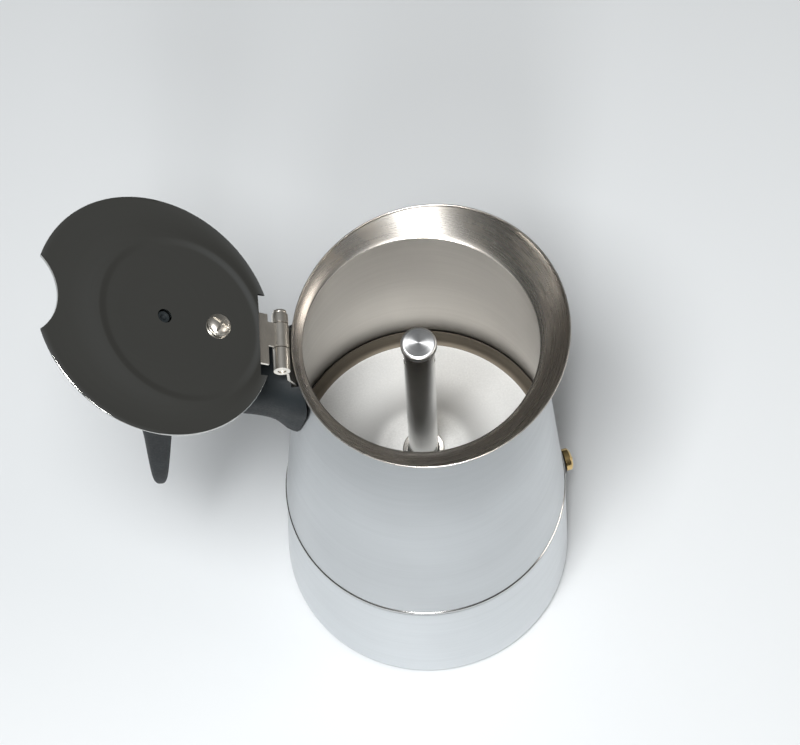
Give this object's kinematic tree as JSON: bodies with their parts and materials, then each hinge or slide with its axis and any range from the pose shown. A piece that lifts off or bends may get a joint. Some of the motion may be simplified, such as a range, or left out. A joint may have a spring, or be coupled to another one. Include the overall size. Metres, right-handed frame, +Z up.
{
  "type": "moka pot",
  "caption": "Stovetop steel moka pot: round boiler with safety valve, screwed-on flared upper vessel with coffee column, hinged notched lid and black handle.",
  "frame": {"origin": "centre of the flat underside of the base, on the axis of the thread, the column and the boiler", "axes": "+Z up along the pot's axis, +X towards the pouring side, -X towards the lid hinge and the handle"},
  "size_m": [0.1578, 0.0988, 0.2095],
  "materials": {
    "brushed_steel": "fine vertical and turned brushing, satin",
    "polished_steel": "polished",
    "matt_steel": "blasted, matt",
    "brass": "turned",
    "black_plastic": "moulded, satin black",
    "dark_rubber": "matt black",
    "pale_rubber": "matt off-white"
  },
  "bodies": {
    "boiler": {"boiler_shell": "brushed_steel", "valve_body": "brass", "valve_washer": "dark_rubber", "valve_nut": "brass", "valve_spring": "polished_steel", "funnel": "matt_steel", "funnel_screen": "matt_steel"},
    "valve_pin": {"valve_pin": "brass"},
    "filter_set": {"gasket": "pale_rubber", "filter_plate": "matt_steel"},
    "upper": {"upper_shell": "brushed_steel", "collar": "matt_steel", "chamber_floor": "matt_steel", "column": "polished_steel", "column_cap": "polished_steel", "column_ring": "polished_steel", "hinge_leaf_pot": "polished_steel", "hinge_pin": "polished_steel", "handle": "black_plastic", "handle_bracket": "polished_steel", "handle_screw": "polished_steel"},
    "lid": {"lid": "polished_steel", "hinge_leaf_lid": "polished_steel", "lid_knob": "black_plastic", "knob_screw": "polished_steel"}
  },
  "joints": [
    {"name": "upper_lift", "type": "slide", "parent": "boiler", "child": "filter_set", "axis": [0, 0, 1], "range_m": [0, 0.0076]},
    {"name": "upper_turn", "type": "hinge", "parent": "filter_set", "child": "upper", "pos_m": [0, 0, 0.0575], "axis": [0, 0, 1], "range_deg": [0, 684]},
    {"name": "lid_hinge", "type": "hinge", "parent": "upper", "child": "lid", "pos_m": [-0.041, 0, 0.1661], "axis": [0, 1, 0], "range_deg": [0, 148.7]},
    {"name": "valve_pin_slide", "type": "slide", "parent": "boiler", "child": "valve_pin", "axis": [0.9703, 0.2419, 0], "range_m": [0, 0.0012], "stiffness_N_per_m": 300, "springref_m": -0.002}
  ],
  "couplings": [
    {"joint": "upper_lift", "follows": "upper_turn", "m_per_rad": 0.00063662}
  ]
}
